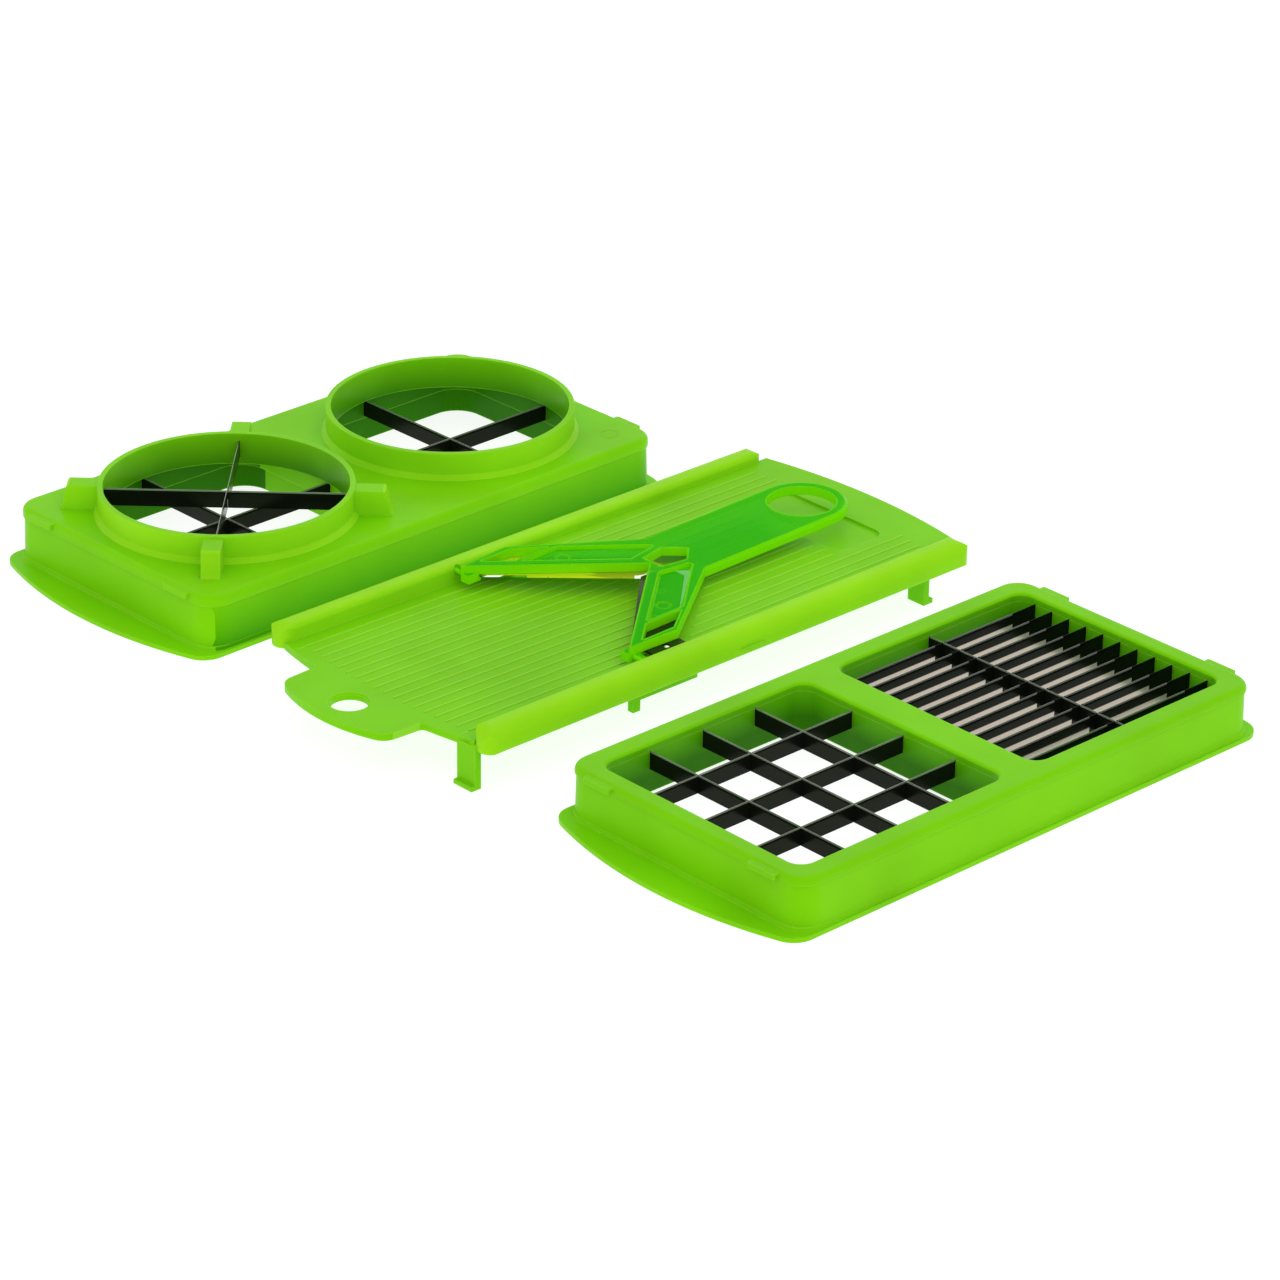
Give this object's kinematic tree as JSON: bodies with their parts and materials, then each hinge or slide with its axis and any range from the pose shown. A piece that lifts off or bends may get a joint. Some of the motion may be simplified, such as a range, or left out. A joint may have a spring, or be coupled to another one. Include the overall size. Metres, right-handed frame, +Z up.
{
  "type": "mandoline slicer set",
  "caption": "Flat hand slicer with a lift-up V-blade carrier and hang tongue, with a dicing grid insert and a ring-collared wedge cutter insert",
  "frame": {"origin": "bottom centre of the whole set as it lies on a table", "axes": "X runs along the long sides of all three pieces from the hang tongue to the finger rest, Y runs from the dicing insert to the wedge insert, Z is up"},
  "size_m": [0.195, 0.2985, 0.0243],
  "materials": {
    "deck_plastic": "satin moulded plastic",
    "insert_plastic": "satin moulded plastic",
    "carrier_plastic": "clear tinted plastic",
    "blade_steel": "polished dark reflecting steel"
  },
  "bodies": {
    "slicer": {"slicer_deck": "deck_plastic"},
    "blade_insert": {"blade_carrier": "carrier_plastic", "vee_blade_left": "blade_steel", "vee_blade_right": "blade_steel"},
    "dicing_insert": {"coarse_blade_long_1": "blade_steel", "coarse_blade_long_2": "blade_steel", "coarse_blade_long_3": "blade_steel", "coarse_blade_short_1": "blade_steel", "coarse_blade_short_2": "blade_steel", "coarse_blade_short_3": "blade_steel", "dicer_lower_frame": "insert_plastic", "dicer_top_rim": "insert_plastic", "fine_blade_01": "blade_steel", "fine_blade_02": "blade_steel", "fine_blade_03": "blade_steel", "fine_blade_04": "blade_steel", "fine_blade_05": "blade_steel", "fine_blade_06": "blade_steel", "fine_blade_07": "blade_steel", "fine_blade_08": "blade_steel", "fine_blade_09": "blade_steel", "fine_blade_10": "blade_steel", "fine_blade_11": "blade_steel", "fine_cross_blade": "blade_steel"},
    "wedge_insert": {"eighths_low_blade_long": "blade_steel", "eighths_low_blade_short": "blade_steel", "eighths_up_blade_a": "blade_steel", "eighths_up_blade_b": "blade_steel", "quarters_low_blade_long": "blade_steel", "quarters_low_blade_short": "blade_steel", "wedge_lower_frame": "insert_plastic", "wedge_top_cover": "insert_plastic"}
  },
  "joints": [
    {"name": "carrier_hinge", "type": "hinge", "parent": "slicer", "child": "blade_insert", "pos_m": [-0.0204, -0.0011, 0.0159], "axis": [0, -1, 0], "range_deg": [0, 60]},
    {"name": "dicing_lift", "type": "slide", "parent": "slicer", "child": "dicing_insert", "axis": [0, 0, 1], "range_m": [0, 0.06]},
    {"name": "wedge_lift", "type": "slide", "parent": "slicer", "child": "wedge_insert", "axis": [0, 0, 1], "range_m": [0, 0.06]}
  ]
}
